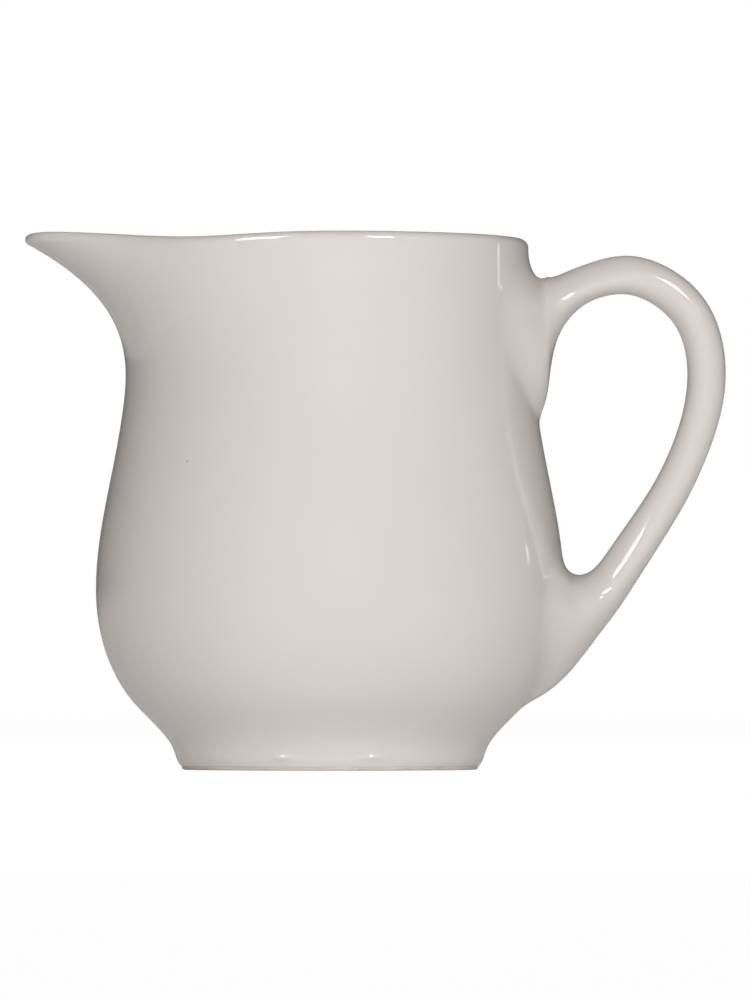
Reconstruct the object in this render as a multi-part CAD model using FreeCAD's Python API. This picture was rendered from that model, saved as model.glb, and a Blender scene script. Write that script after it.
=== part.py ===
import FreeCAD, Part
import math
import os

# Porcelain cream jug: a slip-cast body with a pulled spout, a strap handle luted on with slip,
# and a clear white glaze over both. Millimetres and degrees.
# The origin is on the body's axis in the plane of the standing ring. +Z is up, the handle is
# towards +X and the spout towards -X.

# --- Body, outside faces as glazed ---
HEIGHT = 98.3            # crest of the level rim above the table
RIM_DIP = 0.75           # how far the rim sinks on each side of the spout
DIP_ANGLE = 50.0         # where it sinks, measured round from the spout
DIP_SPREAD = 22.0
FOOT_RADIUS = 27.5       # outside of the standing ring
FOOT_WALL = 3.8          # height of the ring's straight outer wall
FOOT_FLARE = 1.55        # how much that wall leans out
WAIST_TOP = 12.5         # height where the hollow between foot and belly ends
BELLY_CORE = 24.5        # centre radius of the belly's lower quarter ellipse
BELLY_BOTTOM = 6.4       # height where that ellipse would lie flat
BELLY_RADIUS = 43.4
BELLY_HEIGHT = 33.3
SHOULDER_LENGTH = 28.3   # how slowly the belly draws in to the neck
NECK_RADIUS = 36.75

# --- Walls and floor ---
WALL = 3.3
FLOOR_TOP = 7.0          # inside floor above the table
FLOOR_FLAT = 15.0        # radius of its flat middle
RECESS = 3.0             # hollow under the base
RING_WIDTH = 3.2         # standing ring, measured across its flat and its rounded edges
RING_DRAFT = 1.4         # how much the ring's inner wall leans inwards as it rises
RING_EASE = 0.5          # rounding of the ring's two edges
RECESS_FILLET = 1.2

# --- Spout ---
SPOUT_REACH = 19.3       # pull of the wall beyond the neck at the tip
SPOUT_DROP = 32.3        # how far below the rim the wall begins to lean out
SPOUT_SWEEP = 3.0        # power by which the pull grows with height
SPOUT_NARROWING = 0.66   # how much of the pull has gathered into the narrow beak at the top
BEAK_ANGLE = 20.0        # half width of the beak
BROAD_POWER = 10         # larger is a narrower broad pull under the beak
BEAK_LIFT = 1.35         # how far the spout's edges stand above the level rim
LIFT_ANGLE = 22.0        # how far round that lift carries
TIP_DROP = 0.5           # how far the very tip falls back from the edges
TIP_ANGLE = 7.0
LIP = 1.9                # thickness of the tip
SPOUT_START = HEIGHT - SPOUT_DROP

# --- Glaze and luting slip ---
GLAZE = 0.25
GLAZE_LINE = 0.7         # height where the outer glaze stops above the bare standing ring
BASE_GLAZE_LINE = 1.0    # the same inside the ring
SLIP = 0.4               # slip bed between handle and body

# --- Handle ---
HANDLE_FOOT = 12.0       # lowest reach of the handle above the table
HANDLE_CREST_DROP = 3.0  # crest of the loop below the rim
HANDLE_REACH = 32.2      # greatest stand-off of the strap's middle from the body wall
STRAP_THICKNESS = 6.8
STRAP_DEPTH = 9.8
UPPER_LEAF = 30.5        # length down the wall of the upper terminal
LOWER_LEAF = 28.5
LEAF_SPREAD = 35.0       # width of both terminals round the body

# Stations along the handle, from the upper terminal round the loop to the lower one: stand-off as
# a share of the reach, height as a share of the handle's rise, tilt of the section's inner-to-outer
# line, share of the way from strap thickness to leaf length, share of the way from strap depth to
# leaf spread, and fullness (above zero is fuller on the outer side, below zero on the inner side).
UPPER_STATIONS = [
    (-0.134, 0.790, 90, 1.000, 1.00, 0.45),
    (-0.010, 0.796, 90, 0.920, 0.72, 0.30),
    (0.055, 0.803, 91, 0.770, 0.53, 0.12),
    (0.104, 0.842, 92, 0.484, 0.40, -0.05),
    (0.160, 0.889, 95, 0.167, 0.24, -0.25),
    (0.255, 0.922, 102, 0.030, 0.10, -0.35),
]
LOOP_STATIONS = [
    (0.400, 0.947, 101, 0.000, 0.02, -0.35),
    (0.580, 0.956, 88, 0.018, 0.0, -0.25),
    (0.765, 0.931, 66, 0.024, 0.0, -0.05),
    (0.920, 0.876, 41, 0.023, 0.0, 0.05),
    (1.000, 0.786, 17, 0.017, 0.0, 0.00),
    (0.975, 0.683, -6, 0.010, 0.0, 0.00),
    (0.860, 0.579, -20, 0.000, 0.0, 0.05),
    (0.666, 0.466, -30, 0.004, 0.0, 0.10),
    (0.502, 0.388, -33, 0.017, 0.02, 0.20),
]
LOWER_STATIONS = [
    (0.363, 0.320, -36, 0.032, 0.08, 0.25),
    (0.240, 0.259, -49, 0.079, 0.20, 0.20),
    (0.155, 0.226, -69, 0.207, 0.36, 0.05),
    (0.072, 0.196, -85, 0.455, 0.54, -0.15),
    (-0.020, 0.175, -95, 0.762, 0.76, -0.35),
    (-0.170, 0.163, -99, 1.000, 1.00, -0.45),
]

# --- Modelling choices ---
PLAIN_MARGIN = 6.0       # plainly round wall kept clear below the spout's start
SPOUT_ROOT = SPOUT_START - PLAIN_MARGIN
AZIMUTHS = 64
CROWDING = 0.5           # how much the azimuths crowd towards the spout
RIM_STEPS = 8
FLOOR_STEPS = 7
ROOT_SHARES = [0.04, 0.14, 0.26, 0.38, 0.5, 0.61, 0.71, 0.8, 0.88, 0.95, 1.0]
SECTION_POINTS = 16


def vector(radius, height, azimuth=0.0):
    """A point at a radius and height, turned about the body's axis."""
    return FreeCAD.Vector(radius * math.cos(azimuth), radius * math.sin(azimuth), height)


def turned_radius(z):
    """Outside radius of the body at a height, leaving out the spout."""
    if z >= BELLY_HEIGHT:
        rise = (z - BELLY_HEIGHT) / SHOULDER_LENGTH
        return NECK_RADIUS + (BELLY_RADIUS - NECK_RADIUS) * math.exp(-rise * rise)
    if z >= WAIST_TOP:
        return belly_ellipse(z)[0]
    if z > FOOT_WALL:
        return waist_radius(z)
    return FOOT_RADIUS + FOOT_FLARE * z / FOOT_WALL


def belly_ellipse(z):
    """Radius and slope of the belly's lower quarter ellipse."""
    across = BELLY_RADIUS - BELLY_CORE
    down = BELLY_HEIGHT - BELLY_BOTTOM
    drop = (BELLY_HEIGHT - z) / down
    level = math.sqrt(1.0 - drop * drop)
    return BELLY_CORE + across * level, across * drop / (down * level)


def waist_radius(z):
    """A cubic that runs on from the foot wall and meets the belly at the same slope."""
    run = WAIST_TOP - FOOT_WALL
    t = (z - FOOT_WALL) / run
    foot_radius = FOOT_RADIUS + FOOT_FLARE
    foot_slope = FOOT_FLARE / FOOT_WALL
    belly_radius, belly_slope = belly_ellipse(WAIST_TOP)
    return hermite(t, foot_radius, foot_slope * run, belly_radius, belly_slope * run)


def hermite(t, start, start_rate, end, end_rate):
    """A cubic from start to end with the given rates of change at its ends."""
    blend = t * t * (3 - 2 * t)
    return (start * (1 - blend) + end * blend
            + start_rate * t * (1 - t) ** 2 - end_rate * t * t * (1 - t))


def from_spout(azimuth):
    """Angle in degrees between an azimuth and the spout."""
    return abs(math.degrees(math.remainder(azimuth - math.pi, 2 * math.pi)))


def bump(angle, spread):
    return math.exp(-((angle / spread) ** 2))


def spout_pull(azimuth, z):
    """How far the wall is pulled out towards the spout: broad low down, a narrow beak at the top."""
    if z <= SPOUT_START:
        return 0.0
    angle = from_spout(azimuth)
    climb = (z - SPOUT_START) / (SPOUT_DROP - LIP / 2)
    beak_share = min(SPOUT_NARROWING * climb ** 3, 1.0)
    broad = math.cos(math.radians(angle / 2)) ** BROAD_POWER
    shape = (1 - beak_share) * broad + beak_share * bump(angle, BEAK_ANGLE)
    return SPOUT_REACH * climb ** SPOUT_SWEEP * shape


def rim_height(azimuth):
    angle = from_spout(azimuth)
    dip = RIM_DIP * bump(angle - DIP_ANGLE, DIP_SPREAD)
    lift = BEAK_LIFT * bump(angle, LIFT_ANGLE) - TIP_DROP * bump(angle, TIP_ANGLE)
    return HEIGHT - dip + lift


def wall_frame(azimuth, z):
    """Radius of the outer face, and the directions up along the wall and into it."""
    step = 0.01
    radius = turned_radius(z) + spout_pull(azimuth, z)
    above = turned_radius(z + step) + spout_pull(azimuth, z + step)
    slope = (above - radius) / step
    length = math.hypot(1.0, slope)
    return radius, (slope / length, 1.0 / length), (-1.0 / length, slope / length)


def wall_thickness(azimuth, z):
    """The wall thins where it is pulled out, down to the lip at the tip."""
    return WALL - (WALL - LIP) * min(spout_pull(azimuth, z) / SPOUT_REACH, 1.0)


def wall_point(azimuth, z, depth):
    """A point a given depth into the wall, square to the outer face."""
    radius, along, inward = wall_frame(azimuth, z)
    return vector(radius + depth * inward[0], z + depth * inward[1], azimuth)


def wall_top(azimuth):
    """Height where the outer face ends and the round rim begins."""
    crest = rim_height(azimuth)
    half = wall_thickness(azimuth, crest) / 2
    top = crest - half
    for _ in range(4):
        half = wall_thickness(azimuth, top) / 2
        top = crest - half * (1.0 + wall_frame(azimuth, top)[2][1])
    return top


def rim_point(azimuth, turn, inset):
    """A point on the round rim: turn 0 is its outer edge and 180 its inner edge."""
    top = wall_top(azimuth)
    radius, along, inward = wall_frame(azimuth, top)
    half = wall_thickness(azimuth, top) / 2
    across = -math.cos(math.radians(turn)) * (half - inset)
    up = math.sin(math.radians(turn)) * (half - inset)
    r = radius + inward[0] * (half + across) + along[0] * up
    z = top + inward[1] * (half + across) + along[1] * up
    return vector(r, z, azimuth)


def azimuths():
    steps = [2 * math.pi * i / AZIMUTHS for i in range(AZIMUTHS)]
    return [step + CROWDING * math.sin(step) for step in steps]


def spread(low, high, count):
    """Evenly spaced values above low, up to and with high."""
    return [low + (high - low) * k / count for k in range(1, count + 1)]


def ring_curve(row):
    """A smooth closed curve through a row of points that ends where it begins."""
    curve = Part.BSplineCurve()
    curve.interpolate(Points=row, PeriodicFlag=True, Parameters=list(range(len(row) + 1)))
    return curve


def ring_wire(row):
    return Part.Wire(ring_curve(row).toShape())


def smooth_face(rows):
    """A smooth face through rows of points that each run once round."""
    rings = [ring_curve(row) for row in rows]
    lengths = [0.0]
    for low, high in zip(rows, rows[1:]):
        gaps = [a.distanceToPoint(b) for a, b in zip(low, high)]
        lengths.append(lengths[-1] + sum(gaps) / len(gaps))
    columns = []
    for poles in zip(*[ring.getPoles() for ring in rings]):
        column = Part.BSplineCurve()
        column.interpolate(Points=list(poles), Parameters=lengths)
        columns.append(column)
    surface = Part.BSplineSurface()
    surface.buildFromPolesMultsKnots(
        [column.getPoles() for column in columns],
        rings[0].getMultiplicities(), columns[0].getMultiplicities(),
        rings[0].getKnots(), columns[0].getKnots(),
        True, False, rings[0].Degree, columns[0].Degree)
    return surface.toShape()


def round_row(point):
    """A profile point carried round the axis."""
    return [vector(point.x, point.z, a) for a in azimuths()]


def band(points):
    """The face turned by a smooth run of profile points."""
    return smooth_face([round_row(point) for point in points])


def flat_face(*points):
    """A flat disc out to one profile point, or a flat ring between two."""
    return Part.makeFace([ring_wire(round_row(point)) for point in points], "Part::FaceMakerBullseye")


def sewn(faces):
    """A solid from faces that meet edge to edge."""
    skin = Part.makeCompound(faces)
    skin.sewShape()
    solid = Part.makeSolid(skin.Shells[0])
    if solid.Volume < 0:
        solid.reverse()
    return solid


def plain_heights(low):
    """Heights that carry the outside from a low edge up to where the spout may begin."""
    heights = [low]
    heights += spread(low, FOOT_WALL, 2)
    heights += spread(FOOT_WALL, WAIST_TOP, 5)
    heights += spread(WAIST_TOP, BELLY_HEIGHT, 6)
    return heights + spread(BELLY_HEIGHT, SPOUT_ROOT, 6)


def spout_height(azimuth, share):
    return SPOUT_ROOT + share * (wall_top(azimuth) - SPOUT_ROOT)


def inside_heights():
    """Heights of the outside that the inside follows, from below the spout down to the floor's curve."""
    heights = spread(WAIST_TOP, BELLY_HEIGHT, 5) + spread(BELLY_HEIGHT, SPOUT_ROOT, 6)
    return list(reversed(heights))


def floor_points(inset):
    """The curve from the inside wall down to the flat of the floor."""
    start = wall_point(0.0, WAIST_TOP, WALL - inset)
    end = vector(FLOOR_FLAT, FLOOR_TOP - inset)
    reach = start.distanceToPoint(end)
    along = wall_frame(0.0, WAIST_TOP)[1]
    points = []
    for t in [k / FLOOR_STEPS for k in range(FLOOR_STEPS + 1)]:
        r = hermite(t, start.x, -along[0] * reach, end.x, -reach)
        z = hermite(t, start.z, -along[1] * reach, end.z, 0.0)
        points.append(vector(r, z))
    return points


def skin(inset, low):
    """The wall as one face: up the outside from a low edge, over the rim and down to the floor."""
    rows = [round_row(wall_point(0.0, z, inset)) for z in plain_heights(low)]
    for share in ROOT_SHARES:
        rows.append([wall_point(a, spout_height(a, share), inset) for a in azimuths()])
    for turn in spread(0.0, 180.0, RIM_STEPS)[:-1]:
        rows.append([rim_point(a, turn, inset) for a in azimuths()])
    for share in reversed(ROOT_SHARES):
        row = []
        for a in azimuths():
            z = spout_height(a, share)
            row.append(wall_point(a, z, wall_thickness(a, z) - inset))
        rows.append(row)
    rows += [round_row(wall_point(0.0, z, WALL - inset)) for z in inside_heights()]
    rows += [round_row(point) for point in floor_points(inset)]
    return smooth_face(rows)


def vessel(inset, low, foot_faces):
    """The whole body with its outside and inside faces set in by an inset."""
    floor = flat_face(vector(FLOOR_FLAT, FLOOR_TOP - inset))
    return sewn([skin(inset, low), floor] + foot_faces)


def ring_inner_radius():
    """Inside radius of the standing ring in the plane of the table."""
    return FOOT_RADIUS - GLAZE - RING_WIDTH


def quarter_round(start, corner, end):
    """Profile points of a quarter round from start to end, where the edges would meet at a corner."""
    centre = start + end - corner
    points = []
    for t in [math.pi / 2 * k / 4 for k in range(5)]:
        points.append(centre + (start - centre) * math.cos(t) + (end - centre) * math.sin(t))
    return points


def hollow(set_off, low):
    """Profile points up the ring's inner wall from a low edge, and round to the roof of the hollow."""
    lean = RING_DRAFT / RECESS
    wall = ring_inner_radius() - set_off
    roof = RECESS - set_off
    low_end = vector(wall - lean * low, low)
    fillet_start = vector(wall - lean * (roof - RECESS_FILLET), roof - RECESS_FILLET)
    fillet_corner = vector(fillet_start.x - lean * RECESS_FILLET, roof)
    fillet_end = vector(fillet_corner.x - RECESS_FILLET, roof)
    return [low_end, fillet_start], quarter_round(fillet_start, fillet_corner, fillet_end)


def biscuit_foot():
    """The bare standing ring and the hollow inside it."""
    outer_wall = wall_point(0.0, RING_EASE, GLAZE)
    outer_edge = vector(outer_wall.x - RING_EASE, 0)
    inner_wall, fillet = hollow(0.0, RING_EASE)
    inner_edge = vector(inner_wall[0].x + RING_EASE, 0)
    outer_ease = quarter_round(outer_wall, vector(outer_wall.x, 0), outer_edge)
    inner_ease = quarter_round(inner_edge, vector(inner_wall[0].x, 0), inner_wall[0])
    return [band(outer_ease), flat_face(outer_edge, inner_edge), band(inner_ease),
            band(inner_wall), band(fillet), flat_face(fillet[-1])]


def buried_foot():
    """From the glaze line straight in to the middle of the ring, then up and across inside the base."""
    glaze_end = wall_point(0.0, GLAZE_LINE, 0.0)
    below = vector(FOOT_RADIUS - RING_WIDTH / 2, glaze_end.z)
    above = vector(below.x, (RECESS + FLOOR_TOP) / 2)
    return [flat_face(glaze_end, below), band([below, above]), flat_face(above)]


def filled_body(inset):
    """The body's outside as a full round solid without spout or hollow, for trimming the handle."""
    heights = plain_heights(GLAZE_LINE) + spread(SPOUT_ROOT, HEIGHT, 8)
    points = [wall_point(0.0, z, inset) for z in heights]
    return sewn([band(points), flat_face(points[0]), flat_face(points[-1])])


def base_glaze():
    """The island of glaze in the hollow under the base."""
    wall, fillet = hollow(GLAZE, BASE_GLAZE_LINE)
    below = vector(FOOT_RADIUS - RING_WIDTH / 2, BASE_GLAZE_LINE)
    above = vector(below.x, (RECESS + FLOOR_TOP) / 2)
    return sewn([band(wall), band(fillet), flat_face(fillet[-1]),
                 flat_face(below, wall[0]), band([below, above]), flat_face(above)])


def handle_section(station, leaf_length, inset):
    """Points round one section of the handle, an egg-shaped loop across the strap."""
    out, up, tilt, leaf, wide, fullness = station
    crest = HEIGHT - HANDLE_CREST_DROP
    z = HANDLE_FOOT + up * (crest - HANDLE_FOOT)
    middle = FreeCAD.Vector(turned_radius(z) + out * HANDLE_REACH, 0, z)
    outward = vector(math.cos(math.radians(tilt)), math.sin(math.radians(tilt)))
    half_thick = (STRAP_THICKNESS + leaf * (leaf_length - STRAP_THICKNESS)) / 2 - inset
    half_deep = (STRAP_DEPTH + wide * (LEAF_SPREAD - STRAP_DEPTH)) / 2 - inset
    turns = [2 * math.pi * i / SECTION_POINTS for i in range(SECTION_POINTS)]
    widest = max(math.sin(t) * (1 + fullness * math.cos(t)) for t in turns)
    points = []
    for t in turns:
        deep = half_deep * math.sin(t) * (1 + fullness * math.cos(t)) / widest
        points.append(middle + outward * (half_thick * math.cos(t)) + FreeCAD.Vector(0, deep, 0))
    return points


def whole_handle(inset):
    """The handle before it is trimmed to the body, running on into the wall at both ends."""
    sections = [handle_section(station, UPPER_LEAF, inset) for station in UPPER_STATIONS + LOOP_STATIONS]
    sections += [handle_section(station, LOWER_LEAF, inset) for station in LOWER_STATIONS]
    ends = [Part.Face(ring_wire(section)) for section in (sections[0], sections[-1])]
    return sewn([smooth_face(sections)] + ends)


def save(name, shape):
    shape.exportStep("parts/" + name + ".step")


def main():
    os.makedirs("parts", exist_ok=True)
    body = vessel(GLAZE, RING_EASE, biscuit_foot())
    envelope = vessel(0.0, GLAZE_LINE, buried_foot())
    slip_face = filled_body(GLAZE - SLIP)
    mid_wall = filled_body(WALL / 2)
    rooted_handle = whole_handle(GLAZE).cut(mid_wall)
    handle = rooted_handle.cut(slip_face)
    beds = rooted_handle.common(slip_face).cut(body).Solids
    beds.sort(key=lambda bed: bed.CenterOfMass.z)
    glazed_handle = whole_handle(0.0).cut(mid_wall)
    coat = envelope.fuse(glazed_handle).cut(body).cut(rooted_handle)
    save("body", body)
    save("handle", handle)
    save("lower_luting_slip", beds[0])
    save("upper_luting_slip", beds[-1])
    save("glaze_coat", coat)
    save("base_glaze", base_glaze().cut(body))


main()
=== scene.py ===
import math

import bmesh
import bpy
import numpy as np
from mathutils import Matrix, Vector, noise


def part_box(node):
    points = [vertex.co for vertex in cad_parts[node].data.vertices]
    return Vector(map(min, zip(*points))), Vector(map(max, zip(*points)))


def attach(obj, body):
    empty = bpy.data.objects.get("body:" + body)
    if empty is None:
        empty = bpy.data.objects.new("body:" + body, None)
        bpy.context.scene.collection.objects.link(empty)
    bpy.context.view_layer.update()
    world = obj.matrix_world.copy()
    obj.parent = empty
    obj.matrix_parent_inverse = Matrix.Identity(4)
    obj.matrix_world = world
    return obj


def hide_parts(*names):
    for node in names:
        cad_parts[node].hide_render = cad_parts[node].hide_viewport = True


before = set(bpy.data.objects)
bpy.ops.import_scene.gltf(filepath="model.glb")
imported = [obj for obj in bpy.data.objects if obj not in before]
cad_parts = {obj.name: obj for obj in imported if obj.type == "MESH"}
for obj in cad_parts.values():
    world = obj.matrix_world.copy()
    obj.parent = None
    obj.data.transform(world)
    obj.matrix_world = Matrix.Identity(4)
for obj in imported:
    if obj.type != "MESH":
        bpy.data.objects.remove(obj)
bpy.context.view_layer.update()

# ---------------------------------------------------------------------------------------------
# Sizes, in metres. The outline follows the CAD parts; what can be read from their boxes is.
# ---------------------------------------------------------------------------------------------
MM = 0.001

coat_low, coat_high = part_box("glaze_coat")
recess_low, recess_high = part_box("base_glaze")

BEAK_LIFT = 1.35 * MM
BEAK_LIFT_ANGLE = 22.0
TIP_DROP = 0.5 * MM
TIP_ANGLE = 7.0
RIM_DIP = 0.75 * MM
DIP_ANGLE = 50.0
DIP_SPREAD = 22.0

SKIN = 0.02 * MM                 # the finished surface stays this far inside the CAD faces
RIM_HEIGHT = 98.3 * MM
HEIGHT = RIM_HEIGHT - SKIN
BELLY_RADIUS = coat_high[1] - SKIN
BELLY_HEIGHT = 33.3 * MM
BELLY_CORE = 24.5 * MM
BELLY_BOTTOM = 6.4 * MM
WAIST_TOP = 12.5 * MM
FOOT_RADIUS = 27.5 * MM
FOOT_WALL = 3.8 * MM
FOOT_FLARE = 1.55 * MM
SHOULDER_LENGTH = 28.3 * MM
NECK_RADIUS = 36.75 * MM

WALL = 3.3 * MM
LIP = 1.9 * MM
FLOOR_TOP = 7.0 * MM
FLOOR_FLAT = 15.0 * MM

SPOUT_DROP = 32.3 * MM
SPOUT_START = RIM_HEIGHT - SPOUT_DROP
SPOUT_REACH = 19.3 * MM - SKIN
SPOUT_SWEEP = 3.0
SPOUT_NARROWING = 0.66
BEAK_ANGLE = 20.0
BROAD_POWER = 10
SPOUT_ROOT = 60.0 * MM

GLAZE = 0.25 * MM
GLAZE_LINE = coat_low[2]
RECESS = recess_high[2]
RING_WIDTH = 3.2 * MM
RING_DRAFT = 1.4 * MM
RING_EASE = 0.5 * MM
RECESS_FILLET = 1.2 * MM

HANDLE_FOOT = 12.0 * MM
HANDLE_CREST = 95.3 * MM
HANDLE_REACH = 32.2 * MM - 2 * SKIN
STRAP_THICKNESS = 6.8 * MM
STRAP_DEPTH = 9.8 * MM
UPPER_LEAF = 30.5 * MM
LOWER_LEAF = 28.5 * MM
LEAF_SPREAD = 35.0 * MM

# Stations along the handle from the upper root round the loop to the lower root: stand-off from the
# wall as a share of the reach, height as a share of the rise, tilt of the section in degrees, length
# and spread as shares of the way from strap to root leaf, and fullness of the outer side.
UPPER_STATIONS = [
    (-0.134, 0.790, 90, 1.000, 1.00, 0.45),
    (-0.010, 0.796, 90, 0.920, 0.72, 0.30),
    (0.055, 0.803, 91, 0.770, 0.53, 0.12),
    (0.104, 0.842, 92, 0.484, 0.40, -0.05),
    (0.160, 0.889, 95, 0.167, 0.24, -0.25),
    (0.255, 0.922, 102, 0.030, 0.10, -0.35),
]
LOOP_STATIONS = [
    (0.400, 0.947, 101, 0.000, 0.02, -0.35),
    (0.580, 0.956, 88, 0.018, 0.0, -0.25),
    (0.765, 0.931, 66, 0.024, 0.0, -0.05),
    (0.920, 0.876, 41, 0.023, 0.0, 0.05),
    (1.000, 0.786, 17, 0.017, 0.0, 0.00),
    (0.975, 0.683, -6, 0.010, 0.0, 0.00),
    (0.860, 0.579, -20, 0.000, 0.0, 0.05),
    (0.666, 0.466, -30, 0.004, 0.0, 0.10),
    (0.502, 0.388, -33, 0.017, 0.02, 0.20),
]
LOWER_STATIONS = [
    (0.363, 0.320, -36, 0.032, 0.08, 0.25),
    (0.240, 0.259, -49, 0.079, 0.20, 0.20),
    (0.155, 0.226, -69, 0.207, 0.36, 0.05),
    (0.072, 0.196, -85, 0.455, 0.54, -0.15),
    (-0.020, 0.175, -95, 0.762, 0.76, -0.35),
    (-0.170, 0.163, -99, 1.000, 1.00, -0.45),
]

# Fillets where the strap meets the body: above, beside and below the root.
UPPER_FILLETS = (3.4 * MM, 4.5 * MM, 2.2 * MM)
LOWER_FILLETS = (2.4 * MM, 3.6 * MM, 3.0 * MM)
ROOT_DEPTH = 1.4 * MM            # the handle's hidden ends close this far under the body's face
LOOP_MIDDLE = 0.52               # where the strap's first ring lies, as a share of its length

# Mesh fineness
TURNS = 288                      # steps round the body
RING_TURNS = 192                 # steps round the foot ring and the base glaze
CROWDING = 0.45                  # how much closer the steps lie towards the spout
SPOKES = 64                      # steps round the strap
LOOP_RINGS = 56
BLEND_RINGS = 10
FOOT_ROWS, WAIST_ROWS, BELLY_ROWS, NECK_ROWS = 10, 12, 14, 12
SPOUT_ROWS, RIM_ROWS, INSIDE_ROWS, FLOOR_ROWS = 26, 14, 10, 16
CLIMB_EASE = 1.3                 # rows lie closer together towards the rim


# ---------------------------------------------------------------------------------------------
# The jug's form
# ---------------------------------------------------------------------------------------------
def bump(offset, width):
    """A smooth hill, 1 at no offset and almost nothing at twice the width."""
    return math.exp(-((offset / width) ** 2))


def hermite(t, start, start_rate, end, end_rate):
    """A smooth run from start to end with a given rate at each, for t from 0 to 1."""
    blend = t * t * (3 - 2 * t)
    return (start * (1 - blend) + end * blend
            + start_rate * t * (1 - t) ** 2 - end_rate * t * t * (1 - t))


def belly_ellipse(z):
    """Radius and slope of the belly's lower quarter ellipse."""
    across = BELLY_RADIUS - BELLY_CORE
    down = BELLY_HEIGHT - BELLY_BOTTOM
    drop = (BELLY_HEIGHT - z) / down
    level = math.sqrt(1.0 - drop * drop)
    return BELLY_CORE + across * level, across * drop / (down * level)


def turned_radius(z):
    """Outside radius of the body at a height, leaving out the spout."""
    if z >= BELLY_HEIGHT:
        rise = (z - BELLY_HEIGHT) / SHOULDER_LENGTH
        return NECK_RADIUS + (BELLY_RADIUS - NECK_RADIUS) * math.exp(-rise * rise)
    if z >= WAIST_TOP:
        return belly_ellipse(z)[0]
    if z <= FOOT_WALL:
        return FOOT_RADIUS + FOOT_FLARE * z / FOOT_WALL
    run = WAIST_TOP - FOOT_WALL
    radius, slope = belly_ellipse(WAIST_TOP)
    return hermite((z - FOOT_WALL) / run, FOOT_RADIUS + FOOT_FLARE,
                   FOOT_FLARE / FOOT_WALL * run, radius, slope * run)


def from_spout(azimuth):
    """Angle in degrees between an azimuth and the spout."""
    return abs(math.degrees(math.remainder(azimuth - math.pi, 2 * math.pi)))


def spout_pull(azimuth, z):
    """How far the wall is drawn out: broad low down, gathered into a narrow beak at the top."""
    if z <= SPOUT_START:
        return 0.0
    angle = from_spout(azimuth)
    climb = (z - SPOUT_START) / (SPOUT_DROP - LIP / 2)
    beak_share = min(SPOUT_NARROWING * climb ** 3, 1.0)
    broad = math.cos(math.radians(angle / 2)) ** BROAD_POWER
    shape = (1 - beak_share) * broad + beak_share * bump(angle, BEAK_ANGLE)
    return SPOUT_REACH * climb ** SPOUT_SWEEP * shape


def rim_height(azimuth):
    """Height of the rim's crest: level, with a dip on each side of the lifted beak."""
    angle = from_spout(azimuth)
    lift = BEAK_LIFT * bump(angle, BEAK_LIFT_ANGLE) - TIP_DROP * bump(angle, TIP_ANGLE)
    return HEIGHT - RIM_DIP * bump(angle - DIP_ANGLE, DIP_SPREAD) + lift


def wall_frame(azimuth, z):
    """Radius of the outer face, and the directions up along the wall and into it."""
    step = 0.01 * MM
    radius = turned_radius(z) + spout_pull(azimuth, z)
    slope = (turned_radius(z + step) + spout_pull(azimuth, z + step) - radius) / step
    length = math.hypot(1.0, slope)
    return radius, (slope / length, 1.0 / length), (-1.0 / length, slope / length)


def wall_thickness(azimuth, z):
    """The full wall, thinned to the lip's thickness where it is pulled out furthest."""
    return WALL - (WALL - LIP) * min(spout_pull(azimuth, z) / SPOUT_REACH, 1.0)


def wall_point(azimuth, z, depth):
    """Radius and height of a point a given depth into the wall."""
    radius, _, inward = wall_frame(azimuth, z)
    return radius + depth * inward[0], z + depth * inward[1]


def wall_top(azimuth):
    """Height where the outer face ends and the round rim begins."""
    crest = rim_height(azimuth)
    top = crest - wall_thickness(azimuth, crest) / 2
    for _ in range(4):
        half = wall_thickness(azimuth, top) / 2
        top = crest - half * (1.0 + wall_frame(azimuth, top)[2][1])
    return top


def rim_point(azimuth, turn):
    """A point on the round rim: turn 0 is its outer edge and pi its inner edge."""
    top = wall_top(azimuth)
    radius, along, inward = wall_frame(azimuth, top)
    half = wall_thickness(azimuth, top) / 2
    across = half * (1.0 - math.cos(turn))
    up = half * math.sin(turn)
    return (radius + inward[0] * across + along[0] * up,
            top + inward[1] * across + along[1] * up)


def spread(low, high, count):
    """Evenly spaced values above low, up to and with high."""
    return [low + (high - low) * k / count for k in range(1, count + 1)]


def quarter_round(start, corner, end, count=5):
    """Profile points of a quarter round between two edges that would meet at a corner."""
    start, corner, end = Vector(start), Vector(corner), Vector(end)
    centre = start + end - corner
    turns = [math.pi / 2 * k / count for k in range(count + 1)]
    return [tuple(centre + (start - centre) * math.cos(t) + (end - centre) * math.sin(t)) for t in turns]


# ---------------------------------------------------------------------------------------------
# Mesh helpers
# ---------------------------------------------------------------------------------------------
def finish_piece(name, bm, material):
    """Turn a bmesh into a smooth piece that rides on the jug."""
    mesh = bpy.data.meshes.new(name)
    bmesh.ops.recalc_face_normals(bm, faces=bm.faces)
    bm.to_mesh(mesh)
    bm.free()
    mesh.shade_smooth()
    mesh.materials.append(material)
    piece = bpy.data.objects.new(name, mesh)
    bpy.context.collection.objects.link(piece)
    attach(piece, "root")
    return piece


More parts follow.
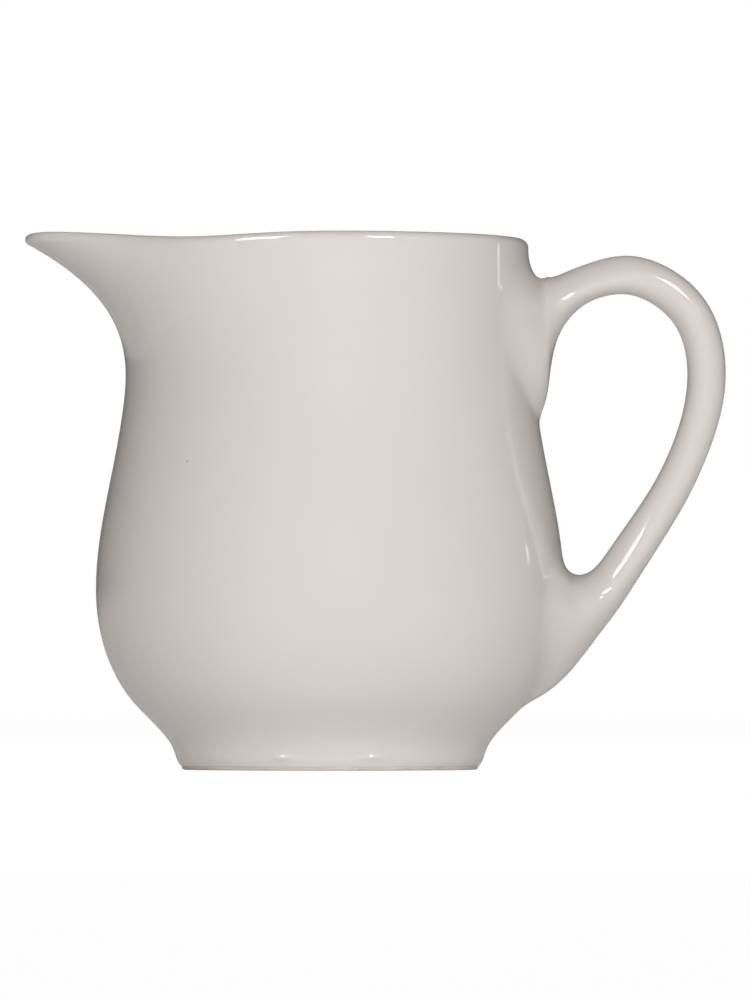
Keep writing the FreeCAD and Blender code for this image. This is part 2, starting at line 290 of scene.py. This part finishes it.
def spin_profile(rows, turns):
    """Spin a profile once round the axis. Each row is a function from azimuth to (radius, height),
    so that a row may run out into the spout; the first and last rows lie on the axis."""
    bm = bmesh.new()
    row_layer = bm.verts.layers.int.new("row")
    chain = []
    for number, row in enumerate(rows):
        radius, height = row(0.0)
        vert = bm.verts.new((radius, 0.0, height))
        vert[row_layer] = number
        chain.append(vert)
    edges = [bm.edges.new(pair) for pair in zip(chain, chain[1:])]
    bmesh.ops.spin(bm, geom=chain + edges, cent=(0, 0, 0), axis=(0, 0, 1),
                   angle=2 * math.pi, steps=turns, use_merge=True)
    for vert in bm.verts:
        plain = math.atan2(vert.co.y, vert.co.x)
        azimuth = plain + CROWDING * math.sin(plain)
        radius, height = rows[vert[row_layer]](azimuth)
        vert.co = (radius * math.cos(azimuth), radius * math.sin(azimuth), height)
    bmesh.ops.remove_doubles(bm, verts=bm.verts, dist=0.001 * MM)
    return bm


def still(radius, height):
    """A row that is the same all the way round."""
    return lambda azimuth: (radius, height)


# ---------------------------------------------------------------------------------------------
# Body
# ---------------------------------------------------------------------------------------------
GLAZE_ROLL_HEIGHT = 1.9 * MM
GLAZE_ROLL_WIDTH = 0.75 * MM
GLAZE_ROLL = 0.16 * MM
BEAD_HEIGHT = 2.3 * MM
BEAD_WIDTH = 0.5 * MM
BEAD = 0.62 * MM
BEAD_AZIMUTHS = (math.radians(252.5), math.radians(285.5))
BEAD_SPREAD = math.radians(3.6)


def glaze_roll(azimuth, z):
    """The thick edge where the glaze ran down and stopped above the standing ring, with two beads."""
    uneven = 0.75 + 0.5 * noise.noise(Vector((3 * math.cos(azimuth), 3 * math.sin(azimuth), 0.0)))
    roll = GLAZE_ROLL * uneven * bump(z - GLAZE_ROLL_HEIGHT, GLAZE_ROLL_WIDTH)
    beads = sum(bump(azimuth % math.tau - place, BEAD_SPREAD) for place in BEAD_AZIMUTHS)
    return roll + BEAD * beads * bump(z - BEAD_HEIGHT, BEAD_WIDTH)


def outside_row(height):
    """A row of the glaze's outer face below the spout."""
    def row(azimuth):
        radius, z = wall_point(azimuth, height, 0.0)
        return radius + glaze_roll(azimuth, z), z
    return row


def spout_row(share, inside):
    """A row a share of the way from the spout's root to the rim, on the outer or the inner face."""
    def row(azimuth):
        z = SPOUT_ROOT + share * (wall_top(azimuth) - SPOUT_ROOT)
        return wall_point(azimuth, z, wall_thickness(azimuth, z) if inside else 0.0)
    return row


def body_rows():
    """The glazed body's profile, from under the base up the outside, over the rim and down inside."""
    edge = wall_point(0.0, GLAZE_LINE, 0.0)
    bare = edge[0] - GLAZE
    buried = (RECESS + FLOOR_TOP) / 2
    glaze_top = GLAZE_LINE + GLAZE
    rows = [still(0.0, buried), still(bare - RING_WIDTH / 2, buried)]
    rows += [still(bare - RING_WIDTH / 2, glaze_top), still(bare, glaze_top)]
    rows += [still(*point) for point in quarter_round(
        (bare + SKIN, GLAZE_LINE), (edge[0], GLAZE_LINE), (edge[0] + SKIN, glaze_top), 4)]
    for low, high, count in ((glaze_top, FOOT_WALL, FOOT_ROWS), (FOOT_WALL, WAIST_TOP, WAIST_ROWS),
                             (WAIST_TOP, BELLY_HEIGHT, BELLY_ROWS), (BELLY_HEIGHT, SPOUT_ROOT, NECK_ROWS)):
        rows += [outside_row(z) for z in spread(low, high, count)]
    climb = [1 - (1 - share) ** CLIMB_EASE for share in spread(0.0, 1.0, SPOUT_ROWS)]
    rows += [spout_row(share, False) for share in climb]
    rows += [lambda a, turn=turn: rim_point(a, turn) for turn in spread(0.0, math.pi, RIM_ROWS)[:-1]]
    rows += [spout_row(share, True) for share in reversed(climb)]
    for low, high in ((BELLY_HEIGHT, SPOUT_ROOT), (WAIST_TOP, BELLY_HEIGHT)):
        rows += [still(*wall_point(0.0, z, WALL)) for z in reversed(spread(low, high, INSIDE_ROWS))]
    start = wall_point(0.0, WAIST_TOP, WALL)
    along = wall_frame(0.0, WAIST_TOP)[1]
    reach = math.hypot(start[0] - FLOOR_FLAT, start[1] - FLOOR_TOP)
    for t in [0.0] + spread(0.0, 1.0, FLOOR_ROWS):
        rows.append(still(hermite(t, start[0], -along[0] * reach, FLOOR_FLAT, -reach),
                          hermite(t, start[1], -along[1] * reach, FLOOR_TOP, 0.0)))
    rows += [still(FLOOR_FLAT * share, FLOOR_TOP) for share in (0.75, 0.5, 0.25, 0.0)]
    return rows


def make_body(material):
    return finish_piece("glazed_body", spin_profile(body_rows(), TURNS), material)


def hollow_wall(height):
    """Radius of the ring's leaning inner wall at a height."""
    return FOOT_RADIUS - GLAZE - RING_WIDTH - RING_DRAFT * height / RECESS


PLATE_GAP = 0.5 * MM             # between the foot's base plate and the glazed body's underside


def make_bare_foot(material):
    """The unglazed standing ring, with the base plate that it grows out of."""
    outer = FOOT_RADIUS + FOOT_FLARE * RING_EASE / FOOT_WALL - GLAZE
    glaze_top = GLAZE_LINE + GLAZE
    outer_top = FOOT_RADIUS + FOOT_FLARE * glaze_top / FOOT_WALL - GLAZE
    inner = hollow_wall(RING_EASE)
    roof_start = hollow_wall(RECESS)
    buried = (RECESS + FLOOR_TOP) / 2 - PLATE_GAP
    points = [(0.0, RECESS), (roof_start - RECESS_FILLET, RECESS)]
    points += quarter_round(points[-1], (roof_start, RECESS),
                            (hollow_wall(RECESS - RECESS_FILLET), RECESS - RECESS_FILLET))[1:]
    points += quarter_round((inner, RING_EASE), (inner, 0.0), (inner + RING_EASE, 0.0))
    middle = (inner + outer) / 2
    points.append((middle, 0.0))
    points += quarter_round((outer - RING_EASE, 0.0), (outer, 0.0), (outer, RING_EASE))
    points += [(outer_top, glaze_top), (outer_top, glaze_top + GLAZE),
               (outer_top - RING_WIDTH / 3, glaze_top + 2 * GLAZE),
               (outer_top - RING_WIDTH / 2, buried), (0.0, buried)]
    rows = [still(radius, height) for radius, height in points]
    return finish_piece("bare_foot", spin_profile(rows, RING_TURNS), material)


ISLAND_TUCK = 0.1 * MM           # the island's hidden back lies this far inside the base


def make_base_glaze(material):
    """The island of glaze inside the ring, thickest where it pooled in the corner."""
    low = recess_low[2]
    roof_start = hollow_wall(RECESS)
    points = [(0.0, RECESS + ISLAND_TUCK), (roof_start - RECESS_FILLET, RECESS + ISLAND_TUCK)]
    points += [(hollow_wall(RECESS - RECESS_FILLET) + ISLAND_TUCK, RECESS - RECESS_FILLET)]
    points += [(hollow_wall(low) + ISLAND_TUCK, low + GLAZE), (hollow_wall(low), low + 0.1 * GLAZE)]
    points += quarter_round((hollow_wall(low), low), (hollow_wall(low) - GLAZE, low),
                            (hollow_wall(low + GLAZE) - GLAZE, low + GLAZE), 4)
    pool = quarter_round((hollow_wall(RECESS - RECESS_FILLET) - 1.2 * GLAZE, RECESS - RECESS_FILLET - GLAZE),
                         (roof_start - 1.6 * GLAZE, RECESS - 1.6 * GLAZE),
                         (roof_start - 1.8 * RECESS_FILLET, RECESS - GLAZE), 8)
    points += pool
    points += [(radius, RECESS - GLAZE) for radius in reversed(spread(0.0, pool[-1][0], 6)[:-1])]
    points.append((0.0, RECESS - GLAZE))
    rows = [still(radius, height) for radius, height in points]
    return finish_piece("base_glaze_island", spin_profile(rows, RING_TURNS), material)


# ---------------------------------------------------------------------------------------------
# Handle
# ---------------------------------------------------------------------------------------------
def natural_spline(knots, values):
    """A smooth curve through the values at the knots, as a function."""
    count = len(knots)
    system = np.zeros((count, count))
    right = np.zeros(count)
    system[0, 0] = system[-1, -1] = 1.0
    for i in range(1, count - 1):
        before = knots[i] - knots[i - 1]
        after = knots[i + 1] - knots[i]
        system[i, i - 1:i + 2] = before, 2 * (before + after), after
        right[i] = 6 * ((values[i + 1] - values[i]) / after - (values[i] - values[i - 1]) / before)
    bend = np.linalg.solve(system, right)

    def value(x):
        i = min(max(int(np.searchsorted(knots, x)) - 1, 0), count - 2)
        span = knots[i + 1] - knots[i]
        a = (knots[i + 1] - x) / span
        b = 1.0 - a
        curve = ((a ** 3 - a) * bend[i] + (b ** 3 - b) * bend[i + 1]) * span * span / 6
        return float(a * values[i] + b * values[i + 1] + curve)
    return value


def station_sizes(station, leaf_length):
    """Middle, tilt, half length, half spread and fullness of one handle section."""
    out, up, tilt, leaf, wide, fullness = station
    z = HANDLE_FOOT + up * (HANDLE_CREST - HANDLE_FOOT)
    x = turned_radius(z) + out * HANDLE_REACH
    half_length = (STRAP_THICKNESS + leaf * (leaf_length - STRAP_THICKNESS)) / 2
    half_spread = (STRAP_DEPTH + wide * (LEAF_SPREAD - STRAP_DEPTH)) / 2
    return x, z, math.radians(tilt), half_length, half_spread, fullness


class Handle:
    """The strap's surface: a point for each place along it and each turn round it."""

    LEAF_PACE = 0.35             # how much a change in section length counts as length along the strap
    FLANK = [math.radians(angle) for angle in range(30, 150, 4)]

    def __init__(self):
        stations = [station_sizes(s, UPPER_LEAF) for s in UPPER_STATIONS + LOOP_STATIONS]
        stations += [station_sizes(s, LOWER_LEAF) for s in LOWER_STATIONS]
        knots = [0.0]
        for a, b in zip(stations, stations[1:]):
            knots.append(knots[-1] + math.hypot(b[0] - a[0], b[1] - a[1]) + self.LEAF_PACE * abs(b[3] - a[3]))
        self.length = knots[-1]
        self.sizes = [natural_spline(knots, column) for column in zip(*stations)]

    def point(self, s, turn):
        x, z, tilt, half_length, half_spread, fullness = [size(s) for size in self.sizes]
        widest = max(math.sin(t) * (1 + fullness * math.cos(t)) for t in self.FLANK)
        deep = half_spread * math.sin(turn) * (1 + fullness * math.cos(turn)) / widest
        out = half_length * math.cos(turn)
        return Vector((x + out * math.cos(tilt), deep, z + out * math.sin(tilt)))


def proud(point):
    """How far a point stands out from the body's outer face."""
    return math.hypot(point.x, point.y) - turned_radius(point.z)


def on_body(point, depth=0.0):
    """The point moved along its radius to a depth under the body's outer face."""
    flat = Vector((point.x, point.y, 0.0)).normalized()
    radius = turned_radius(point.z) - depth
    return Vector((flat.x * radius, flat.y * radius, point.z))


def body_normal(point):
    """Direction straight out of the body's outer face."""
    step = 0.05 * MM
    slope = (turned_radius(point.z + step) - turned_radius(point.z - step)) / (2 * step)
    flat = Vector((point.x, point.y, 0.0)).normalized()
    return Vector((flat.x, flat.y, -slope)).normalized()


HALVINGS = 40                    # steps of the search for the crease between strap and body


def find_crossing(handle, turn, inner, outer):
    """Place along the handle where its surface meets the body, between a buried and a free place."""
    for _ in range(HALVINGS):
        middle = (inner + outer) / 2
        if proud(handle.point(middle, turn)) > 0:
            outer = middle
        else:
            inner = middle
    return (inner + outer) / 2


FILLET_STEP = 0.1 * MM           # how finely the fillet's start is searched for along the strap
FILLET_PULL = 1.15               # roundness of the fillet
# The skirt round the root: how far beyond the fillet each ring lies, and how deep under the face.
SKIRT = ((0.5 * MM, 0.006 * MM), (1.0 * MM, 0.1 * MM))
SKIRT_HEM = 0.5 * MM
HEM_LIFT = 0.004 * MM            # the fillet's last ring stands this little above the face
CLOSING_SHARES = (0.95, 0.7, 0.45, 0.2)


def root_lines(handle, middle, end, fillets):
    """For each spoke, the points from the middle of the loop out to the body, with a fillet that
    leaves the strap and arrives flat on the body, and then the way in under the body's face."""
    turns = [2 * math.pi * k / SPOKES for k in range(SPOKES)]
    top, side, heel = fillets
    reach = []
    crossings = []
    for turn in turns:
        crossing = find_crossing(handle, turn, end, middle)
        crossings.append((crossing, handle.point(crossing, turn)))
        level = math.cos(turn)
        reach.append(side + (top - side) * max(level, 0.0) ** 2 + (heel - side) * max(-level, 0.0) ** 2)
    heart = sum((point for _, point in crossings), Vector()) / SPOKES
    sign = 1.0 if end < middle else -1.0
    lines = []
    for k, turn in enumerate(turns):
        crossing, crease = crossings[k]
        ahead = crossings[(k + 1) % SPOKES][1] - crossings[k - 1][1]
        away = body_normal(crease).cross(ahead).normalized()
        if away.dot(crease - heart) < 0:
            away.negate()
        start = crossing
        while (handle.point(start, turn) - crease).length < reach[k]:
            start += sign * FILLET_STEP
        leave = handle.point(start, turn)
        heading = (leave - handle.point(start + sign * 2 * FILLET_STEP, turn)).normalized()
        arrive = on_body(crease + away * reach[k])
        arrival = (arrive - on_body(crease + away * reach[k] * 0.9)).normalized()
        line = [handle.point(middle + (start - middle) * share, turn)
                for share in [0.0] + spread(0.0, 1.0, LOOP_RINGS)]
        pull = (arrive - leave).length * FILLET_PULL
        for t in spread(0.0, 1.0, BLEND_RINGS):
            line.append(Vector([hermite(t, leave[i], heading[i] * pull, arrive[i], arrival[i] * pull)
                                for i in range(3)]))
        line[-1] = on_body(arrive, -HEM_LIFT)
        line += [on_body(arrive + away * out, depth) for out, depth in SKIRT]
        lines.append(line)
    bed = on_body(heart, ROOT_DEPTH)
    for line in lines:
        edge = line[-1]
        line.append(on_body(edge, SKIRT_HEM))
        line += [on_body(bed + (edge - bed) * share, ROOT_DEPTH) for share in CLOSING_SHARES]
        line.append(bed.copy())
    return lines


def extrude_root(bm, ring, lines, spoke_layer):
    """Draw a ring of edges out along its lines, ring by ring, and close it at the last point."""
    for step in range(1, len(lines[0])):
        result = bmesh.ops.extrude_edge_only(bm, edges=ring)
        made = result["geom"]
        for vert in [item for item in made if isinstance(item, bmesh.types.BMVert)]:
            vert.co = lines[vert[spoke_layer]][step]
        ring = [item for item in made if isinstance(item, bmesh.types.BMEdge)
                and all(v in made for v in item.verts)]


def make_handle(material):
    """The strap with both roots, drawn out both ways from one ring in the middle of the loop."""
    handle = Handle()
    middle = handle.length * LOOP_MIDDLE
    upper = root_lines(handle, middle, 0.0, UPPER_FILLETS)
    lower = root_lines(handle, middle, handle.length, LOWER_FILLETS)
    bm = bmesh.new()
    spoke_layer = bm.verts.layers.int.new("spoke")
    circle = bmesh.ops.create_circle(bm, segments=SPOKES, radius=1.0 * MM)
    for number, vert in enumerate(circle["verts"]):
        vert[spoke_layer] = number
        vert.co = upper[number][0]
    start = list(bm.edges)
    for lines in (upper, lower):
        extrude_root(bm, start, lines, spoke_layer)
    bmesh.ops.remove_doubles(bm, verts=bm.verts, dist=0.002 * MM)
    return finish_piece("glazed_handle", bm, material)


# ---------------------------------------------------------------------------------------------
# Materials
# ---------------------------------------------------------------------------------------------
def new_group(name, inputs, outputs):
    group = bpy.data.node_groups.new(name, "ShaderNodeTree")
    for label, kind, value in inputs:
        socket = group.interface.new_socket(name=label, in_out="INPUT", socket_type=kind)
        if value is not None:
            socket.default_value = value
    for label, kind in outputs:
        group.interface.new_socket(name=label, in_out="OUTPUT", socket_type=kind)
    return group, group.nodes.new("NodeGroupInput"), group.nodes.new("NodeGroupOutput")


def node(tree, kind, settings=None, **inputs):
    """Add a node, set its properties, and feed or set its inputs by name."""
    made = tree.nodes.new(kind)
    for key, value in (settings or {}).items():
        setattr(made, key, value)
    for key, value in inputs.items():
        put(tree, made, key, value)
    return made


def put(tree, made, key, value):
    """Set or feed one input, by name with _ for a space, or by number after a leading _."""
    socket = made.inputs[int(key[1:])] if key[0] == "_" else made.inputs[key.replace("_", " ")]
    if isinstance(value, bpy.types.NodeSocket):
        tree.links.new(value, socket)
    else:
        socket.default_value = value


def math_node(tree, operation, first, second=0.0, clamp=False):
    made = node(tree, "ShaderNodeMath", {"operation": operation, "use_clamp": clamp}, _0=first, _1=second)
    return made.outputs[0]


def make_specks_group():
    """Sparse round specks: iron spots, pinholes and the bare clay's dark grains all use it."""
    group, given, result = new_group(
        "sparse_specks",
        [("Vector", "NodeSocketVector", None), ("Spacing", "NodeSocketFloat", 120.0),
         ("Size", "NodeSocketFloat", 0.03), ("Share", "NodeSocketFloat", 0.1)],
        [("Mask", "NodeSocketFloat")])
    cells = node(group, "ShaderNodeTexVoronoi", {"feature": "F1"}, Vector=given.outputs["Vector"],
                 Scale=given.outputs["Spacing"])
    edge = math_node(group, "DIVIDE", cells.outputs["Distance"], given.outputs["Size"])
    dot = math_node(group, "SUBTRACT", 1.3, edge, True)
    pick = node(group, "ShaderNodeSeparateColor", None, Color=cells.outputs["Color"])
    chosen = math_node(group, "LESS_THAN", pick.outputs[0], given.outputs["Share"])
    mask = math_node(group, "MULTIPLY", dot, chosen, True)
    group.links.new(mask, result.inputs["Mask"])
    return group


def make_ripple_group():
    """The slow swell of fired clay under glaze, and the finer orange peel of the glaze itself."""
    group, given, result = new_group(
        "surface_ripple",
        [("Vector", "NodeSocketVector", None), ("Swell", "NodeSocketFloat", 45.0),
         ("Peel", "NodeSocketFloat", 420.0), ("Peel Share", "NodeSocketFloat", 0.1)],
        [("Height", "NodeSocketFloat")])
    swell = node(group, "ShaderNodeTexNoise", None, Vector=given.outputs["Vector"],
                 Scale=given.outputs["Swell"], Detail=1.5, Roughness=0.4)
    peel = node(group, "ShaderNodeTexNoise", None, Vector=given.outputs["Vector"],
                Scale=given.outputs["Peel"], Detail=1.0, Roughness=0.4)
    fine = math_node(group, "MULTIPLY", peel.outputs[0], given.outputs["Peel Share"])
    height = math_node(group, "ADD", swell.outputs[0], fine)
    group.links.new(height, result.inputs["Height"])
    return group


def make_mottle_group():
    """Soft clouding between two tones."""
    group, given, result = new_group(
        "soft_mottle",
        [("Vector", "NodeSocketVector", None), ("Scale", "NodeSocketFloat", 30.0),
         ("First", "NodeSocketColor", (0.8, 0.8, 0.8, 1)), ("Second", "NodeSocketColor", (0.7, 0.7, 0.7, 1))],
        [("Color", "NodeSocketColor"), ("Mask", "NodeSocketFloat")])
    cloud = node(group, "ShaderNodeTexNoise", None, Vector=given.outputs["Vector"],
                 Scale=given.outputs["Scale"], Detail=4.0, Roughness=0.55)
    mask = node(group, "ShaderNodeMapRange", None, Value=cloud.outputs[0], From_Min=0.35, From_Max=0.65)
    mix = node(group, "ShaderNodeMix", {"data_type": "RGBA"})
    group.links.new(mask.outputs[0], mix.inputs["Factor"])
    group.links.new(given.outputs["First"], mix.inputs[6])
    group.links.new(given.outputs["Second"], mix.inputs[7])
    group.links.new(mix.outputs[2], result.inputs["Color"])
    group.links.new(mask.outputs[0], result.inputs["Mask"])
    return group


def new_material(name, **shader_values):
    material = bpy.data.materials.new(name)
    material.use_nodes = True
    tree = material.node_tree
    shader = tree.nodes["Principled BSDF"]
    for key, value in shader_values.items():
        shader.inputs[key.replace("_", " ")].default_value = value
    place = tree.nodes.new("ShaderNodeTexCoord").outputs["Object"]
    return material, tree, shader, place


def place_group(tree, group, **inputs):
    made = tree.nodes.new("ShaderNodeGroup")
    made.node_tree = group
    for key, value in inputs.items():
        put(tree, made, key, value)
    return made


def blend_colour(tree, factor, first, second):
    mix = node(tree, "ShaderNodeMix", {"data_type": "RGBA"})
    for index, value in ((0, factor), (6, first), (7, second)):
        if isinstance(value, bpy.types.NodeSocket):
            tree.links.new(value, mix.inputs[index])
        else:
            mix.inputs[index].default_value = value
    return mix.outputs[2]


IRON_BROWN = (0.16, 0.12, 0.09, 1)
GRAIN_BROWN = (0.30, 0.25, 0.20, 1)
POOL_TOP = 11.5 * MM             # the glaze deepens in tone from here down
POOL_BOTTOM = 3.5 * MM


def make_glaze(name, groups, tone, second_tone, pool):
    """Clear-coated white porcelain glaze: soft clouding, iron specks, pinholes and a gentle ripple."""
    material, tree, shader, place = new_material(name, IOR=1.52, Coat_Weight=0.25, Coat_Roughness=0.04)
    mottle = place_group(tree, groups["mottle"], Vector=place, Scale=26.0, First=tone, Second=second_tone)
    height = node(tree, "ShaderNodeSeparateXYZ", None, Vector=place).outputs["Z"]
    low = node(tree, "ShaderNodeMapRange", {"interpolation_type": "SMOOTHSTEP"}, Value=height,
               From_Min=POOL_TOP, From_Max=POOL_BOTTOM).outputs[0]
    pooled = blend_colour(tree, math_node(tree, "MULTIPLY", low, 0.35), mottle.outputs["Color"], pool)
    iron = place_group(tree, groups["specks"], Vector=place, Spacing=115.0, Size=0.022, Share=0.035)
    spots = math_node(tree, "MULTIPLY", iron.outputs[0], 0.75)
    colour = blend_colour(tree, spots, pooled, IRON_BROWN)
    tree.links.new(colour, shader.inputs["Base Color"])
    wear = node(tree, "ShaderNodeMapRange", None, Value=mottle.outputs["Mask"], To_Min=0.06, To_Max=0.1)
    tree.links.new(wear.outputs[0], shader.inputs["Roughness"])
    ripple = place_group(tree, groups["ripple"], Vector=place, Swell=38.0, Peel=300.0, Peel_Share=0.03)
    pits = place_group(tree, groups["specks"], Vector=place, Spacing=170.0, Size=0.035, Share=0.03)
    holes = math_node(tree, "MULTIPLY", pits.outputs[0], 0.15)
    relief = math_node(tree, "SUBTRACT", ripple.outputs[0], holes)
    bumps = node(tree, "ShaderNodeBump", None, Height=relief, Strength=0.35, Distance=0.0006)
    tree.links.new(bumps.outputs[0], shader.inputs["Normal"])
    return material


def make_biscuit(name, groups, tone, second_tone):
    """Unglazed fired porcelain: matte, very finely grained, with a few dark grains."""
    material, tree, shader, place = new_material(name, IOR=1.45, Specular_IOR_Level=0.3)
    mottle = place_group(tree, groups["mottle"], Vector=place, Scale=180.0, First=tone, Second=second_tone)
    grains = place_group(tree, groups["specks"], Vector=place, Spacing=900.0, Size=0.3, Share=0.06)
    colour = blend_colour(tree, math_node(tree, "MULTIPLY", grains.outputs[0], 0.5),
                          mottle.outputs["Color"], GRAIN_BROWN)
    tree.links.new(colour, shader.inputs["Base Color"])
    rough = node(tree, "ShaderNodeMapRange", None, Value=mottle.outputs["Mask"], To_Min=0.55, To_Max=0.8)
    tree.links.new(rough.outputs[0], shader.inputs["Roughness"])
    ripple = place_group(tree, groups["ripple"], Vector=place, Swell=900.0, Peel=4200.0, Peel_Share=0.6)
    bumps = node(tree, "ShaderNodeBump", None, Height=ripple.outputs[0], Strength=0.5, Distance=0.0001)
    tree.links.new(bumps.outputs[0], shader.inputs["Normal"])
    return material


# ---------------------------------------------------------------------------------------------
# Stage: floor, light and camera
# ---------------------------------------------------------------------------------------------
def make_floor():
    bm = bmesh.new()
    bmesh.ops.create_grid(bm, x_segments=8, y_segments=8, size=3.0)
    mesh = bpy.data.meshes.new("floor")
    bm.to_mesh(mesh)
    bm.free()
    floor = bpy.data.objects.new("floor", mesh)
    floor.visible_glossy = False
    bpy.context.collection.objects.link(floor)
    material = bpy.data.materials.new("pale_floor")
    material.use_nodes = True
    tree = material.node_tree
    shader = tree.nodes["Principled BSDF"]
    shader.inputs["Base Color"].default_value = (0.92, 0.92, 0.92, 1)
    shader.inputs["Roughness"].default_value = 0.6
    glow = node(tree, "ShaderNodeEmission", None, Color=(1, 1, 1, 1), Strength=1.1)
    seen = tree.nodes.new("ShaderNodeLightPath")
    mix = tree.nodes.new("ShaderNodeMixShader")
    share = math_node(tree, "MULTIPLY", seen.outputs["Is Camera Ray"], 0.86)
    tree.links.new(share, mix.inputs[0])
    tree.links.new(shader.outputs[0], mix.inputs[1])
    tree.links.new(glow.outputs[0], mix.inputs[2])
    tree.links.new(mix.outputs[0], tree.nodes["Material Output"].inputs["Surface"])
    mesh.materials.append(material)


def make_world(strength, behind, table):
    """White to the eye and an even soft light. In the glaze's reflections it is a dim room behind the
    jug, and a pale table below it, because the floor itself is kept out of them."""
    world = bpy.data.worlds.new("studio")
    bpy.context.scene.world = world
    world.use_nodes = True
    tree = world.node_tree
    tree.nodes.clear()
    place = tree.nodes.new("ShaderNodeTexCoord").outputs["Generated"]
    split = node(tree, "ShaderNodeSeparateXYZ", None, Vector=place)
    depth = node(tree, "ShaderNodeMapRange", {"interpolation_type": "SMOOTHSTEP"}, Value=split.outputs["Y"],
                 From_Min=0.1, From_Max=0.95, To_Min=strength, To_Max=behind)
    below = node(tree, "ShaderNodeMapRange", {"interpolation_type": "SMOOTHSTEP"}, Value=split.outputs["Z"],
                 From_Min=0.02, From_Max=-0.06)
    around = node(tree, "ShaderNodeMix", None, Factor=below.outputs[0], A=depth.outputs[0], B=table)
    soft = node(tree, "ShaderNodeBackground", None, Color=(1.0, 0.97, 0.92, 1), Strength=strength)
    room = node(tree, "ShaderNodeBackground", None, Color=(1.0, 1.0, 0.96, 1), Strength=around.outputs[0])
    white = node(tree, "ShaderNodeBackground", None, Color=(1, 1, 1, 1), Strength=1.0)
    seen = tree.nodes.new("ShaderNodeLightPath")
    light = tree.nodes.new("ShaderNodeMixShader")
    mix = tree.nodes.new("ShaderNodeMixShader")
    out = tree.nodes.new("ShaderNodeOutputWorld")
    for shader, share, first, second in ((light, "Is Glossy Ray", soft, room),
                                         (mix, "Is Camera Ray", light, white)):
        tree.links.new(seen.outputs[share], shader.inputs[0])
        tree.links.new(first.outputs[0], shader.inputs[1])
        tree.links.new(second.outputs[0], shader.inputs[2])
    tree.links.new(mix.outputs[0], out.inputs[0])


LAMP_DISTANCE = 1.0


def make_lamp(name, azimuth, elevation, width, height, power, diffuse=True, glossy=True):
    """A soft lamp aimed at the jug. Azimuth is measured from the camera, to the right. The fills
    give only soft light, and the small lamps only their highlights in the glaze."""
    target = Vector((0.0, 0.0, 0.05))
    a, e = math.radians(azimuth), math.radians(elevation)
    offset = Vector((math.sin(a) * math.cos(e), -math.cos(a) * math.cos(e), math.sin(e))) * LAMP_DISTANCE
    data = bpy.data.lights.new(name, "AREA")
    data.shape = "RECTANGLE"
    data.size = width
    data.size_y = height
    data.energy = power
    lamp = bpy.data.objects.new(name, data)
    lamp.location = target + offset
    lamp.rotation_euler = (-offset).to_track_quat("-Z", "Y").to_euler()
    lamp.visible_camera = False
    lamp.visible_diffuse = diffuse
    lamp.visible_glossy = glossy
    bpy.context.collection.objects.link(lamp)


VIEW_CENTRE = 8.34 * MM
VIEW_HEIGHT = 49.95 * MM
CAMERA_HEIGHT = 15.0 * MM
CAMERA_DISTANCE = 1.8


def make_camera():
    data = bpy.data.cameras.new("camera")
    data.sensor_width = 36.0
    data.lens = 349.6
    data.clip_start = 0.05
    camera = bpy.data.objects.new("camera", data)
    target = Vector((VIEW_CENTRE, 0.0, VIEW_HEIGHT))
    camera.location = (VIEW_CENTRE, -CAMERA_DISTANCE, CAMERA_HEIGHT)
    camera.rotation_euler = (target - camera.location).to_track_quat("-Z", "Y").to_euler()
    bpy.context.collection.objects.link(camera)
    bpy.context.scene.camera = camera


# ---------------------------------------------------------------------------------------------
# Build
# ---------------------------------------------------------------------------------------------
groups = {"specks": make_specks_group(), "ripple": make_ripple_group(), "mottle": make_mottle_group()}
glaze = make_glaze("white_glaze", groups, (0.805, 0.757, 0.728, 1),
                   (0.785, 0.738, 0.709, 1), (0.79, 0.75, 0.72, 1))
base = make_glaze("base_glaze", groups, (0.76, 0.745, 0.715, 1),
                  (0.73, 0.715, 0.68, 1), (0.68, 0.69, 0.67, 1))
biscuit = make_biscuit("bare_biscuit", groups, (0.74, 0.69, 0.63, 1), (0.66, 0.61, 0.55, 1))
slip = make_biscuit("luting_slip", groups, (0.70, 0.66, 0.60, 1), (0.62, 0.58, 0.52, 1))

body = make_body(glaze)
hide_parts("glaze_coat")

bare_foot = make_bare_foot(biscuit)
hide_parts("body")

island = make_base_glaze(base)
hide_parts("base_glaze")

handle = make_handle(glaze)
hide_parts("handle")

for name in ("upper_luting_slip", "lower_luting_slip"):
    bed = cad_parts[name]
    for slot in bed.material_slots:
        slot.material = slip

make_floor()
make_world(0.33, 0.12, 0.42)
make_lamp("front_fill", 6.0, 8.0, 0.5, 0.5, 5.8, glossy=False)
make_lamp("back_fill", 180.0, 8.0, 0.5, 0.5, 4.5, glossy=False)
for name, azimuth, elevation, width, height, power in (
        ("left_lamp", -35.4, 42.0, 0.30, 0.40, 4.6),
        ("right_lamp", 34.0, 38.0, 0.20, 0.30, 2.6),
        ("far_right_lamp", 50.0, 27.0, 0.06, 0.06, 0.2),
        ("side_lamp", 114.0, 6.0, 0.012, 0.05, 0.012)):
    make_lamp(name, azimuth, elevation, width, height, power, diffuse=False)
make_camera()
bpy.context.scene.view_settings.view_transform = "Standard"
